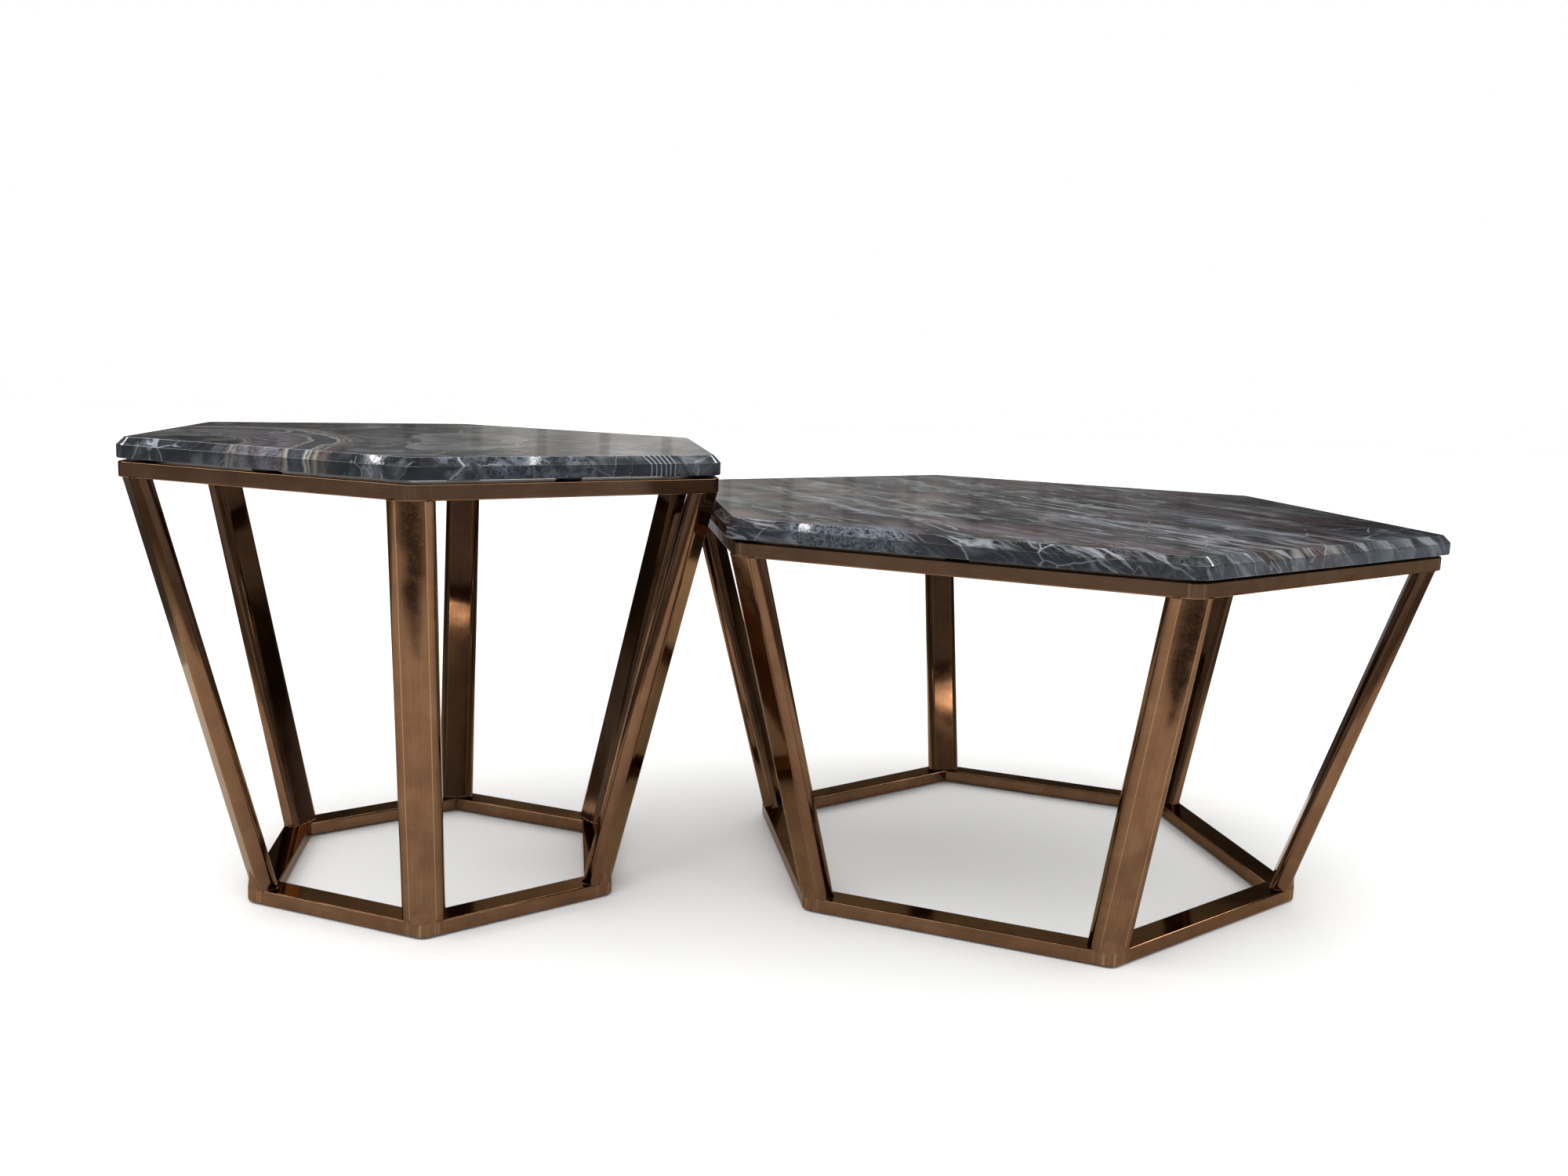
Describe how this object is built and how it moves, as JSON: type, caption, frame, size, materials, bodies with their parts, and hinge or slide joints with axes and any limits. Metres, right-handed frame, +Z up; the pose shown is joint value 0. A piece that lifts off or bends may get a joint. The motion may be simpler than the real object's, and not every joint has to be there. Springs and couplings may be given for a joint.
{
  "type": "nesting tables",
  "caption": "Nesting side tables with hexagonal polished stone tops on bronze-toned tube frames, whose legs lean inwards to a smaller base ring: a low wide table and a taller narrow one.",
  "frame": {"origin": "on the floor, at the centre of the outline of the two tables as they stand together", "axes": "+X from the small table to the large one, along the line through both centres; +Z up; each hexagon has one corner towards -Y, the front"},
  "size_m": [1.359, 0.8938, 0.488],
  "materials": {
    "dark_marble": "polished, dark grey with pale veins",
    "bronze_steel": "polished stainless steel with a bronze tint",
    "black_rubber": "matt black",
    "felt": "dense brown felt"
  },
  "bodies": {
    "large_frame": {"large_top_pads": "black_rubber", "large_top_rail_front_right": "bronze_steel", "large_top_rail_right": "bronze_steel", "large_top_rail_back_right": "bronze_steel", "large_top_rail_back_left": "bronze_steel", "large_top_rail_left": "bronze_steel", "large_top_rail_front_left": "bronze_steel", "large_leg_front": "bronze_steel", "large_leg_front_right": "bronze_steel", "large_leg_back_right": "bronze_steel", "large_leg_back": "bronze_steel", "large_leg_back_left": "bronze_steel", "large_leg_front_left": "bronze_steel", "large_base_rail_front_right": "bronze_steel", "large_base_rail_right": "bronze_steel", "large_base_rail_back_right": "bronze_steel", "large_base_rail_back_left": "bronze_steel", "large_base_rail_left": "bronze_steel", "large_base_rail_front_left": "bronze_steel", "large_floor_glides": "felt"},
    "large_top": {"large_stone_top": "dark_marble"},
    "small_frame": {"small_top_pads": "black_rubber", "small_top_rail_front_right": "bronze_steel", "small_top_rail_right": "bronze_steel", "small_top_rail_back_right": "bronze_steel", "small_top_rail_back_left": "bronze_steel", "small_top_rail_left": "bronze_steel", "small_top_rail_front_left": "bronze_steel", "small_leg_front": "bronze_steel", "small_leg_front_right": "bronze_steel", "small_leg_back_right": "bronze_steel", "small_leg_back": "bronze_steel", "small_leg_back_left": "bronze_steel", "small_leg_front_left": "bronze_steel", "small_base_rail_front_right": "bronze_steel", "small_base_rail_right": "bronze_steel", "small_base_rail_back_right": "bronze_steel", "small_base_rail_back_left": "bronze_steel", "small_base_rail_left": "bronze_steel", "small_base_rail_front_left": "bronze_steel", "small_floor_glides": "felt"},
    "small_top": {"small_stone_top": "dark_marble"}
  },
  "joints": [
    {"name": "small_table_slide", "type": "slide", "parent": "large_frame", "child": "small_frame", "axis": [-1, 0, 0], "range_m": [0, 0.6]},
    {"name": "small_top_lift", "type": "slide", "parent": "small_frame", "child": "small_top", "axis": [0, 0, 1], "range_m": [0, 0.15]},
    {"name": "large_top_lift", "type": "slide", "parent": "large_frame", "child": "large_top", "axis": [0, 0, 1], "range_m": [0, 0.15]}
  ]
}
